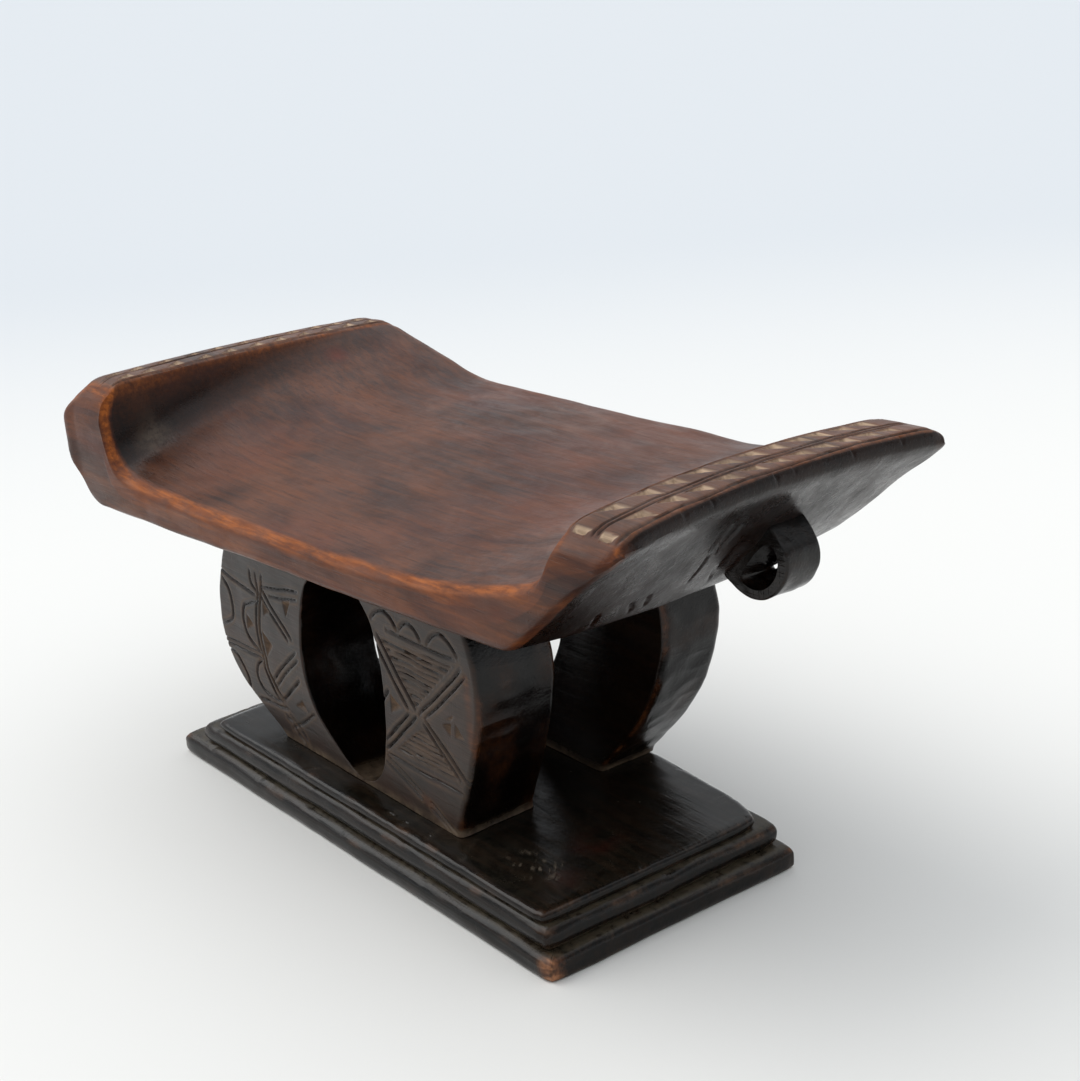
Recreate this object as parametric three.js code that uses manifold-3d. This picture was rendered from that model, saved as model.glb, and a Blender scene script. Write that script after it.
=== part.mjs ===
// A carved one-block headrest: dished seat, carrying lug, two ring supports side by side, stepped base.
// Millimetres, +X along the seat towards the lug, +Z up, origin under the middle of the whole thing.
import * as THREE from "three";
import { mergeVertices } from "three/addons/utils/BufferGeometryUtils.js";
import Module from "manifold-3d";

const wasm = await Module();
wasm.setup();

// Shared
const GAP = 0.3; // between touching pieces
const MERGE = 1e-4; // vertices closer than this are one
const SHIFT = [-1.15, -9.93]; // moves the middle of the whole onto the origin

// Stepped base, from the floor up
const BOTTOM_TOP = 8.6;
const MIDDLE_TOP = 16.6;
const SLAB_TOP = 21.0;
const STEP_HALF = [120, 52]; // half length and width of the steps, about
const CORNER_STEPS = 4;
const SLAB_CORNER = 3; // corner radii in plan
const STEP_CORNER = 2.5;
const BOTTOM_OUTLINE = [
  [123.8, -53.8],
  [126.4, 55.0],
  [50.0, 57.5],
  [-126.5, 59.0],
  [-125.2, -55.7],
];
const MIDDLE_OUTLINE = [
  [119.8, -51.6],
  [121.6, 52.2],
  [48.0, 55.8],
  [-114.0, 57.2],
  [-111.0, -53.2],
];
const SLAB_OUTLINE = [
  [116.6, -50.2],
  [118.2, 44.0],
  [106.0, 49.2],
  [51.0, 54.2],
  [-108.0, 55.4],
  [-99.0, -51.4],
];

// Ring supports: outlines as points on closed smooth curves in X and Z, and the span of each along Y
const FRONT_Y = [-39.0, -5.5];
const BACK_Y = [27.5, 54.5];
const FRONT_OUTER = [
  [-40, 10], [-61.5, 20.4], [-82.5, 29.6], [-99, 39.5], [-107, 52], [-108.6, 67], [-103.4, 84],
  [-92, 102], [-70, 122], [-16, 136], [44, 124], [66, 106], [74, 92], [75.6, 77], [70.4, 56],
  [62, 35.5], [53.6, 19], [20, 8],
];
const FRONT_OPEN = [
  [-8, 22.6], [-23, 30.4], [-36.6, 42], [-41.8, 57], [-39.6, 75], [-34, 90], [-25, 100],
  [-13, 104.4], [0, 100.4], [9.4, 90.4], [13.8, 76], [14.4, 61], [12.8, 45], [8.6, 31.4], [1, 23.8],
];
const BACK_MIDDLE = 4;
const BACK_HALF = [
  [0, 8], [30, 11], [47, 20.4], [58, 31], [69.8, 43.5], [81.2, 60], [87, 73], [89.8, 84],
  [89, 95], [83, 109], [66, 124], [34, 134], [0, 138],
];
const BACK_HALF_OPEN = [
  [0, 26], [8, 31.4], [15, 42.5], [22.6, 56.5], [28.6, 68], [30, 79], [26.6, 91], [16, 101],
  [0, 104],
];
const INSIDE_SEAT = 121; // a height within the seat's thickness all over the supports
const CURVE_STEPS = 60;
const LUG_STEPS = 36;
const LUG_HOLE_STEPS = 28;
const PAST_FACES = 1; // how far a cutter reaches past the faces it cuts

// Seat, in its own frame, turned a little on the base
const SEAT_TURN = 0.034;
const SEAT_AT = [6.3, 10.3];
const RIM_Z = 162.3;
const HALF_LENGTH = 167;
const RIM_HALF = 70.6; // half width at the rims
const SIDE_BULGE = 4.6; // the long sides swell below the rims
const RIM_DROP = 2.6; // rims dip at their corners
const RIM_BOW = 4.2; // and bow in along their middle
const BELLY = 4.2; // the underside sags between its long edges
const SIDE_EASE = 1.2; // eased edge along both long sides
const FRONT_TOP = [
  [-172, -20], [-170, -13], [-164.5, -6.5], [-158, -1.2], [-150, -0.2], [-141, 0],
  [-137.6, -2], [-136.6, -12], [-134, -25], [-127, -33], [-110, -36], [-75, -36.6],
  [0, -35.6], [40, -34], [72, -31.4], [96, -28], [116, -23.4], [129, -18.6],
  [134.8, -12], [137, -3], [139.4, -0.3], [143, 0], [157, 0], [160.2, -0.8], [161.4, -2.6], [161.8, -4.8],
];
const BACK_TOP = [
  [-172, -20], [-170, -13], [-164.5, -6.5], [-158, -1.2], [-150, -0.2], [-141, 0],
  [-136, -1.6], [-126, -5.6], [-113, -10], [-101, -13.6], [-90, -16.8], [-75, -19],
  [0, -19.8], [45, -20.4], [72, -20.6], [90, -18.6], [106, -13.8], [119, -8.6],
  [130, -4], [136, -1.2], [139.4, -0.2], [143, 0], [157, 0], [160.2, -0.8], [161.4, -2.6], [161.8, -4.8],
];
const UNDER = [
  [-172, -22.4], [-171, -27], [-167, -34.6], [-161, -42.4], [-154.6, -49.6], [-147, -53.8],
  [-136, -54.2], [0, -50.4], [106, -47.6], [114, -46.6], [121, -41.8], [130, -34.6],
  [139, -27.0], [147, -20.2], [154, -14.2], [159, -9.6], [161, -7.2], [161.8, -5.8],
];
const STATIONS = [
  -172, -171, -169, -166, -162, -158, -150, -141, -138.4, -137.4, -136.4, -134, -130, -124,
  -114, -102, -90, -75, -50, -25, 0, 25, 50, 72, 88, 102, 114, 121, 128, 133, 136, 138,
  139.4, 143, 150, 157, 159, 160.4, 161.4, 161.8,
];
const ROWS = [-1, -0.975, -0.88, -0.7, -0.45, -0.15, 0.2, 0.55, 0.85, 0.975, 1];

// Carrying lug: a D-shaped loop on the sloping underside of the +X end, in the seat's frame
const LUG_Y = [10.5, 26.5];
const LUG_OUTLINE = [
  [115, -40], [120.8, -45.6], [126.6, -49.2], [132, -50.6], [137, -50], [141.8, -47.4],
  [145.8, -43], [148.2, -37.6], [147.8, -32.6], [144.6, -27.8], [140.6, -23.6], [134, -21],
  [122, -30],
];
const LUG_HOLE = [
  [128.6, -44.2], [132.6, -46.1], [136.8, -45.4], [140.4, -42.8], [143, -39], [143.5, -34.8],
  [141.4, -31.6], [138.4, -32], [133, -37.8],
];

// Colours
const WORN_RED = 0x5a3226;
const BLACKENED = 0x241e1c;
const DARK_BROWN = 0x3a2f2b;

const mix = (a, b, t) => a + (b - a) * t;
const clamp01 = (t) => Math.min(1, Math.max(0, t));
const smooth = (t) => t * t * (3 - 2 * t);

// A rounded curve through control points, at u
function curveAt(points, u) {
  const n = points.length;
  let i = 0;
  while (i < n - 2 && u > points[i + 1][0]) i += 1;
  const [x0, y0] = points[i];
  const [x1, y1] = points[i + 1];
  const slope = (k) => {
    const a = points[Math.max(k - 1, 0)];
    const b = points[Math.min(k + 1, n - 1)];
    return (b[1] - a[1]) / (b[0] - a[0]);
  };
  const h = x1 - x0;
  const t = clamp01((u - x0) / h);
  const chord = (y1 - y0) / h;
  const steepest = 3 * Math.abs(chord); // beyond this a cubic would overshoot its points
  const limit = (m) => (m * chord <= 0 ? 0 : Math.sign(chord) * Math.min(Math.abs(m), steepest));
  const m0 = limit(slope(i));
  const m1 = limit(slope(i + 1));
  const t2 = t * t;
  const t3 = t2 * t;
  return (
    (2 * t3 - 3 * t2 + 1) * y0 +
    (t3 - 2 * t2 + t) * h * m0 +
    (3 * t2 - 2 * t3) * y1 +
    (t3 - t2) * h * m1
  );
}

function seatTop(u, t) {
  const toBack = 1 - ((1 - t) / 2) ** 2;
  return mix(curveAt(FRONT_TOP, u), curveAt(BACK_TOP, u), toBack) - RIM_DROP * t * t;
}

function seatUnder(u, t) {
  const body = smooth(clamp01((156 - Math.abs(u)) / 42));
  const rimPart = smooth(clamp01((Math.abs(u) - 140) / 22));
  return curveAt(UNDER, u) - BELLY * (1 - t * t) * body - RIM_DROP * t * t * rimPart;
}

// Rims bow in on top from the end walls outwards, and underneath only near the ends
function bowed(u, t, start, length) {
  return u - Math.sign(u) * RIM_BOW * (1 - t * t) * smooth(clamp01((Math.abs(u) - start) / length));
}

// Seat frame to the object's frame
function placeSeat(u, v, w) {
  const c = Math.cos(SEAT_TURN);
  const s = Math.sin(SEAT_TURN);
  return [c * u - s * v + SEAT_AT[0], s * u + c * v + SEAT_AT[1], RIM_Z + w];
}

function toManifold(geometry) {
  geometry.deleteAttribute("normal");
  geometry.deleteAttribute("uv");
  const merged = mergeVertices(geometry, MERGE);
  return new wasm.Manifold(
    new wasm.Mesh({
      numProp: 3,
      vertProperties: merged.attributes.position.array,
      triVerts: new Uint32Array(merged.index.array),
    }),
  );
}

// Rings of equal length, joined one to the next, with the two end rings closed by the given cap
function loft(rings, cap) {
  const n = rings[0].length;
  const positions = rings.flat(2);
  const index = [];
  for (let j = 0; j < rings.length - 1; j += 1) {
    for (let i = 0; i < n; i += 1) {
      const a = j * n + i;
      const b = j * n + ((i + 1) % n);
      index.push(a, b, a + n, b, b + n, a + n);
    }
  }
  const last = (rings.length - 1) * n;
  cap.forEach(([a, b, c]) => {
    index.push(c, b, a);
    index.push(last + a, last + b, last + c);
  });
  const geometry = new THREE.BufferGeometry();
  geometry.setAttribute("position", new THREE.Float32BufferAttribute(positions, 3));
  geometry.setIndex(index);
  return toManifold(geometry);
}

function makeSeat() {
  const n = STATIONS.length;
  const rings = ROWS.map((t) => {
    const edge = Math.abs(t) === 1 ? SIDE_EASE : 0;
    const point = (u, w) => {
      const swell = smooth(clamp01((-w - 2) / 16));
      const half = RIM_HALF + SIDE_BULGE * swell;
      return placeSeat(u * (1 - edge / HALF_LENGTH), t * half, w);
    };
    const top = STATIONS.map((u) => point(bowed(u, t, 118, 18), seatTop(u, t) - edge));
    const under = STATIONS.map((u) => point(bowed(u, t, 132, 26), seatUnder(u, t) + edge * 0.9));
    return [...top, ...under.reverse()];
  });
  const cap = [];
  for (let i = 0; i < n - 1; i += 1) {
    const j = 2 * n - 1 - i;
    cap.push([i, i + 1, j], [i + 1, j - 1, j]);
  }
  return loft(rings, cap);
}

// A prism along Y from a closed smooth curve through points in X and Z
function prismY(points, steps, y0, y1) {
  const curve = new THREE.CatmullRomCurve3(points.map(([x, z]) => new THREE.Vector3(x, z, 0)), true);
  const outline = curve.getSpacedPoints(steps).slice(0, -1);
  const shape = new THREE.Shape(outline.map((p) => new THREE.Vector2(p.x, p.y)));
  const geometry = new THREE.ExtrudeGeometry(shape, { depth: y1 - y0, bevelEnabled: false });
  geometry.rotateX(Math.PI / 2).translate(0, y1, 0);
  return toManifold(geometry);
}

function mirrored(half, middle) {
  const right = half.map(([x, z]) => [middle + x, z]);
  const left = half.slice(1, -1).reverse().map(([x, z]) => [middle - x, z]);
  return [...right, ...left];
}

function makeSupport(outer, open, [y0, y1], seat) {
  const cutter = prismY(open, CURVE_STEPS, y0 - PAST_FACES, y1 + PAST_FACES);
  const ring = prismY(outer, CURVE_STEPS, y0, y1).subtract(cutter);
  const foot = SLAB_TOP + GAP;
  const wide = 4 * HALF_LENGTH;
  const middleZ = (INSIDE_SEAT + foot) / 2;
  const band = new THREE.BoxGeometry(wide, wide, INSIDE_SEAT - foot).translate(0, 0, middleZ);
  return ring.intersect(toManifold(band)).subtract(seat.translate([0, 0, -GAP]));
}

function makeLug(seat) {
  const place = (points, steps, y0, y1) => prismY(points, steps, y0, y1)
    .rotate([0, 0, THREE.MathUtils.radToDeg(SEAT_TURN)])
    .translate([SEAT_AT[0], SEAT_AT[1], RIM_Z]);
  const offSlope = [GAP * Math.SQRT1_2, 0, -GAP * Math.SQRT1_2];
  return place(LUG_OUTLINE, LUG_STEPS, LUG_Y[0], LUG_Y[1])
    .subtract(place(LUG_HOLE, LUG_HOLE_STEPS, LUG_Y[0] - PAST_FACES, LUG_Y[1] + PAST_FACES))
    .subtract(seat.translate(offSlope));
}

// Each step's edge from bottom to top, as [height, how far it is drawn in]
const BOTTOM_PROFILE = [[0, 0.8], [0.9, 0], [5.6, 0], [6.6, 0.6], [BOTTOM_TOP, 2.6]];
const MIDDLE_PROFILE = [[BOTTOM_TOP + GAP, 1.2], [10.4, 0.1], [13.2, 0], [15.2, 0.7], [MIDDLE_TOP, 2.4]];
const SLAB_PROFILE = [[MIDDLE_TOP + GAP, 0.6], [18.2, 0], [19.8, 0.5], [20.6, 1.6], [SLAB_TOP, 3.2]];

// A step of the base: a rounded-corner plan outline drawn in at several heights
function makeStep(outline, corner, layers) {
  const shape = new THREE.Shape();
  const count = outline.length;
  const at = (i) => new THREE.Vector2(...outline[(i + count) % count]);
  outline.forEach((_, i) => {
    const here = at(i);
    const from = at(i - 1).sub(here).setLength(corner).add(here);
    const to = at(i + 1).sub(here).setLength(corner).add(here);
    if (i === 0) shape.moveTo(from.x, from.y);
    else shape.lineTo(from.x, from.y);
    shape.quadraticCurveTo(here.x, here.y, to.x, to.y);
  });
  shape.closePath();
  const plan = shape.getPoints(CORNER_STEPS).slice(0, -1);
  const middle = new THREE.Vector2(
    outline.reduce((s, p) => s + p[0], 0) / count,
    outline.reduce((s, p) => s + p[1], 0) / count,
  );
  const rings = layers.map(([z, inset]) => plan.map((p) => [
    middle.x + (p.x - middle.x) * (1 - inset / STEP_HALF[0]),
    middle.y + (p.y - middle.y) * (1 - inset / STEP_HALF[1]),
    z,
  ]));
  const fan = plan.slice(2).map((_, i) => [0, i + 1, i + 2]);
  return loft(rings, fan);
}

const root = new THREE.Group();
root.name = "headrest";

function addNode(name, solid, colour, roughness) {
  const mesh = solid.translate([SHIFT[0], SHIFT[1], 0]).getMesh();
  const geometry = new THREE.BufferGeometry();
  geometry.setAttribute("position", new THREE.Float32BufferAttribute(mesh.vertProperties, 3));
  geometry.setIndex(Array.from(mesh.triVerts));
  geometry.computeVertexNormals();
  const node = new THREE.Mesh(geometry, new THREE.MeshStandardMaterial({ color: colour, roughness }));
  node.name = name;
  root.add(node);
}

const seat = makeSeat();
addNode("seat", seat, WORN_RED, 0.45);
addNode("carrying_lug", makeLug(seat), BLACKENED, 0.4);
addNode("front_support", makeSupport(FRONT_OUTER, FRONT_OPEN, FRONT_Y, seat), DARK_BROWN, 0.5);
addNode(
  "back_support",
  makeSupport(mirrored(BACK_HALF, BACK_MIDDLE), mirrored(BACK_HALF_OPEN, BACK_MIDDLE), BACK_Y, seat),
  BLACKENED,
  0.45,
);
addNode(
  "base_top_slab",
  makeStep(SLAB_OUTLINE, SLAB_CORNER, SLAB_PROFILE),
  BLACKENED,
  0.35,
);
addNode(
  "base_middle_step",
  makeStep(MIDDLE_OUTLINE, STEP_CORNER, MIDDLE_PROFILE),
  BLACKENED,
  0.45,
);
addNode(
  "base_bottom_slab",
  makeStep(BOTTOM_OUTLINE, STEP_CORNER, BOTTOM_PROFILE),
  BLACKENED,
  0.45,
);

export default root;
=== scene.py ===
"""A headrest carved from one block: dished seat with chip-carved rims, lug, two ring supports, stepped base.

Lengths are millimetres in the base's own frame: X along the seat, Y from front to back, Z up.
The seat's tables are in its own frame: u along it, v or t across it (t is -1 to 1), w up from its rims.
"""

import math
from itertools import product

import bmesh
import bpy
import numpy as np
from mathutils import Matrix, Vector


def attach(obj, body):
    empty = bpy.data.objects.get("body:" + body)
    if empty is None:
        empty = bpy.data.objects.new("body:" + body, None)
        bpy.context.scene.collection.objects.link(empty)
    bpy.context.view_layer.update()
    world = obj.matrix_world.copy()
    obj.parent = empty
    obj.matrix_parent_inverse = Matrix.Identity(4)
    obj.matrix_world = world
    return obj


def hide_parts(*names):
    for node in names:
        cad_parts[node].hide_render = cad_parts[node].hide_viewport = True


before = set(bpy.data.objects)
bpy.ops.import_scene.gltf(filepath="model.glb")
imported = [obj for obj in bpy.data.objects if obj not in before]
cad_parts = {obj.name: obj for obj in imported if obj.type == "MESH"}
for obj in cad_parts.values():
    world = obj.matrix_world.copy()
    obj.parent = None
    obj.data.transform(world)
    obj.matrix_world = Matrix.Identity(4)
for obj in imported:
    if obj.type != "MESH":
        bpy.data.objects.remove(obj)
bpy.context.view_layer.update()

SHIFT = np.array([-1.15, -9.93, 0.0])  # base frame to the part's frame
MM = 0.001

# ---------------------------------------------------------------- small maths


MARKS = ("worn", "cut", "dust", "warm", "shade")  # painted on every mesh, read by carved_wood


def clamp01(x):
    return np.clip(x, 0.0, 1.0)


def smooth(x):
    x = clamp01(x)
    return x * x * (3 - 2 * x)


def ramp(x, start, end):
    return smooth((x - start) / (end - start))


def mix(a, b, t):
    return a + (b - a) * t


def noise(x, y, z=0.0, seed=0):
    """Smooth value noise from -1 to 1, one cell per unit. The large numbers only scramble the cell's key."""
    parts = np.broadcast_arrays(x, y, z)
    cells = [np.floor(c).astype(np.int64) for c in parts]
    shares = [smooth(c - i) for c, i in zip(parts, cells)]
    total = np.zeros(parts[0].shape)
    for corner in product((0, 1), repeat=3):
        key = np.full(parts[0].shape, seed * 9176 + 17, np.int64)
        weight = np.ones(parts[0].shape)
        for cell, share, step, prime in zip(cells, shares, corner, (374761, 668265, 982451)):
            key = (key + (cell + step) * prime) & 0xFFFFFF
            weight = weight * (share if step else 1 - share)
        key = ((key ^ (key >> 11)) * 48271) & 0xFFFFFF
        key = ((key ^ (key >> 13)) * 69621) & 0xFFFFFF
        total += weight * ((key >> 4) & 0xFFFF) / 65535.0
    return total * 2 - 1


def cubic_shares(t):
    """Shares of the start, its slope, the end and its slope in a cubic at t."""
    t2, t3 = t * t, t * t * t
    return 2 * t3 - 3 * t2 + 1, t3 - 2 * t2 + t, 3 * t2 - 2 * t3, t3 - t2


def curve_at(points, u):
    """A rounded curve through control points, at u."""
    x, y = np.array(points, float).T
    last = len(x) - 1
    index = np.arange(last + 1)
    before, after = np.maximum(index - 1, 0), np.minimum(index + 1, last)
    slope = (y[after] - y[before]) / (x[after] - x[before])
    i = np.clip(np.searchsorted(x, u, side="left") - 1, 0, last - 1)
    h = x[i + 1] - x[i]
    t = clamp01((u - x[i]) / h)
    chord = (y[i + 1] - y[i]) / h

    def limited(m):
        return np.where(m * chord <= 0, 0, np.sign(chord) * np.minimum(abs(m), 3 * abs(chord)))

    m0, m1 = limited(slope[i]), limited(slope[i + 1])
    from_start, lean_start, to_end, lean_end = cubic_shares(t)
    return from_start * y[i] + lean_start * h * m0 + to_end * y[i + 1] + lean_end * h * m1


def through(points, steps=10, closed=False):
    """Centripetal Catmull-Rom curve through points."""
    p = np.array(points, float)
    if closed:
        p = np.vstack([p[-1], p, p[:2]])
    else:
        p = np.vstack([2 * p[0] - p[1], p, 2 * p[-1] - p[-2]])
    out = []
    for a, b, c, d in zip(p, p[1:], p[2:], p[3:]):
        d0, d1, d2 = (max(np.linalg.norm(q - r) ** 0.5, 1e-4) for q, r in ((b, a), (c, b), (d, c)))
        m0 = ((b - a) / d0 - (c - a) / (d0 + d1) + (c - b) / d1) * d1
        m1 = ((c - b) / d1 - (d - b) / (d1 + d2) + (d - c) / d2) * d1
        from_b, lean_b, to_c, lean_c = cubic_shares(np.linspace(0, 1, steps, endpoint=False)[:, None])
        out.append(from_b * b + lean_b * m0 + to_c * c + lean_c * m1)
    if not closed:
        out.append(p[-2][None])
    return np.vstack(out)


def distance_to(line, a, b):
    """Distance from points (a, b) to a polyline, and how far along it each one is, 0 to 1."""
    line = np.array(line, float)
    best = np.full(np.shape(a), 1e9)
    along = np.zeros(np.shape(a))
    for k, (p, q) in enumerate(zip(line, line[1:])):
        d = q - p
        t = clamp01(((a - p[0]) * d[0] + (b - p[1]) * d[1]) / max(d @ d, 1e-9))
        far = np.hypot(a - p[0] - t * d[0], b - p[1] - t * d[1])
        nearer = far < best
        best = np.where(nearer, far, best)
        along = np.where(nearer, (k + t) / (len(line) - 1), along)
    return best, along


def inside_by(triangle, a, b):
    """For each edge of a triangle, how far inside it each point is."""
    t = np.array(triangle, float)
    turn = np.sign(np.cross(t[1] - t[0], t[2] - t[0]))
    found = []
    for p, q in zip(t, np.roll(t, -1, 0)):
        d = (q - p) / np.linalg.norm(q - p)
        found.append(turn * (d[0] * (b - p[1]) - d[1] * (a - p[0])))
    return found


def chip(triangle, peak, depth, a, b):
    """Depth of a three-faced chip cut, deepest at peak."""
    deep = [edge / at for edge, at in zip(inside_by(triangle, a, b), inside_by(triangle, *peak))]
    return depth * clamp01(np.minimum.reduce(deep))


def groove(far, half, depth):
    """A V cut with rounded shoulders, from the distance to its middle line."""
    return depth * smooth(1 - far / half)


# ---------------------------------------------------------------- mesh making

WELD = 2e-6  # metres within which vertices are joined


def zip_between(one, two, place):
    """Triangles between two chains of vertices that run the same way, by their places along it."""
    i, j, found = 0, 0, []
    while i < len(one) - 1 or j < len(two) - 1:
        if j == len(two) - 1 or (i < len(one) - 1 and place[one[i + 1]] < place[two[j + 1]]):
            found.append([one[i], one[i + 1], two[j]])
            i += 1
        else:
            found.append([one[i], two[j + 1], two[j]])
            j += 1
    return found


def make_piece(name, node, blocks, attributes, material, sharp=38, extra=()):
    """blocks: grids (rows, stations, 3) closed round each row, each with a mask of faces to leave out.

    Open ends get caps. attributes: for each mark, one array per block. extra: further faces.
    """
    verts, faces, base = [], [], 0
    for grid, skip in blocks:
        rows, cols = grid.shape[:2]
        at = base + np.arange(rows * cols).reshape(rows, cols)
        nxt = np.roll(at, -1, 1)
        quads = np.stack([at[:-1], nxt[:-1], nxt[1:], at[1:]], -1)
        faces.append(quads[~skip] if skip is not None else quads.reshape(-1, 4))
        verts.append(grid.reshape(-1, 3))
        base += rows * cols
    mesh = bpy.data.meshes.new(name)
    mesh.from_pydata((np.vstack(verts) + SHIFT) * MM, [], np.vstack(faces).tolist() + list(extra))
    for key, parts in attributes.items():
        values = np.concatenate([np.ravel(p) for p in parts]).astype(np.float32)
        mesh.attributes.new(key, "FLOAT", "POINT").data.foreach_set("value", values)
    bm = bmesh.new()
    bm.from_mesh(mesh)
    bmesh.ops.remove_doubles(bm, verts=bm.verts, dist=WELD)
    loose = [v for v in bm.verts if not v.link_faces]
    bmesh.ops.delete(bm, geom=loose, context="VERTS")
    bmesh.ops.holes_fill(bm, edges=bm.edges, sides=0)
    bmesh.ops.recalc_face_normals(bm, faces=bm.faces)
    open_edges = sum(1 for e in bm.edges if len(e.link_faces) != 2)
    bm.to_mesh(mesh)
    bm.free()
    for polygon in mesh.polygons:
        polygon.use_smooth = True
    mesh.set_sharp_from_angle(angle=math.radians(sharp))
    mesh.materials.append(material)
    print(name, len(mesh.polygons), "faces", open_edges, "open edges")
    piece = bpy.data.objects.new(name, mesh)
    bpy.context.scene.collection.objects.link(piece)
    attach(piece, "root")
    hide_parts(node)
    return piece


# ---------------------------------------------------------------- materials


class Nodes:
    """A short way to build a node tree. All but add and put return an output socket."""

    def __init__(self, tree):
        self.tree = tree

    def add(self, kind):
        return self.tree.nodes.new(kind)

    def put(self, socket, value):
        if isinstance(value, bpy.types.NodeSocket):
            self.tree.links.new(value, socket)
        else:
            socket.default_value = value

    def band(self, value, low, high, to_low=0.0, to_high=1.0):
        node = self.add("ShaderNodeMapRange")
        node.interpolation_type = "SMOOTHSTEP"
        for socket, v in zip(node.inputs, (value, low, high, to_low, to_high)):
            self.put(socket, v)
        return node.outputs[0]

    def maths(self, kind, a, b=0.0):
        node = self.add("ShaderNodeMath")
        node.operation = kind
        for socket, v in zip(node.inputs, (a, b)):
            self.put(socket, v)
        return node.outputs[0]

    def toward(self, place, direction):
        """How far a place lies in a direction."""
        node = self.add("ShaderNodeVectorMath")
        node.operation = "DOT_PRODUCT"
        self.put(node.inputs[0], place)
        node.inputs[1].default_value = direction
        return node.outputs["Value"]

    def blend(self, share, a, b, kind="MIX"):
        node = self.add("ShaderNodeMix")
        node.data_type = "RGBA"
        node.blend_type = kind
        self.put(node.inputs[0], share)
        for socket, v in zip(node.inputs[6:8], (a, b)):
            self.put(socket, v if isinstance(v, bpy.types.NodeSocket) else (*v, 1.0))
        return node.outputs[2]

    def bump(self, height, strength, distance, below=None):
        node = self.add("ShaderNodeBump")
        node.inputs["Strength"].default_value = strength
        node.inputs["Distance"].default_value = distance
        self.put(node.inputs["Height"], height)
        if below is not None:
            self.put(node.inputs["Normal"], below)
        return node.outputs[0]


class Surface(Nodes):
    """A new material with its shader, and textures by place on the object."""

    def __init__(self, name):
        self.material = bpy.data.materials.new(name)
        self.material.use_nodes = True
        super().__init__(self.material.node_tree)
        self.tree.nodes.clear()
        output = self.add("ShaderNodeOutputMaterial")
        self.shader = self.add("ShaderNodeBsdfPrincipled")
        self.tree.links.new(self.shader.outputs[0], output.inputs[0])
        self.place = self.add("ShaderNodeTexCoord").outputs["Object"]

    def scaled(self, scale, turn=(0, 0, 0)):
        node = self.add("ShaderNodeMapping")
        self.put(node.inputs["Vector"], self.place)
        node.inputs["Scale"].default_value = scale
        node.inputs["Rotation"].default_value = turn
        return node.outputs[0]

    def noise(self, scale, turn=(0, 0, 0), detail=3.0, rough=0.55, warp=0.0):
        node = self.add("ShaderNodeTexNoise")
        self.put(node.inputs["Vector"], self.scaled(scale, turn))
        node.inputs["Scale"].default_value = 1.0
        node.inputs["Detail"].default_value = detail
        node.inputs["Roughness"].default_value = rough
        node.inputs["Distortion"].default_value = warp
        return node.outputs[0]

    def mark(self, name):
        node = self.add("ShaderNodeAttribute")
        node.attribute_name = name
        return node.outputs["Fac"]


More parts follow.
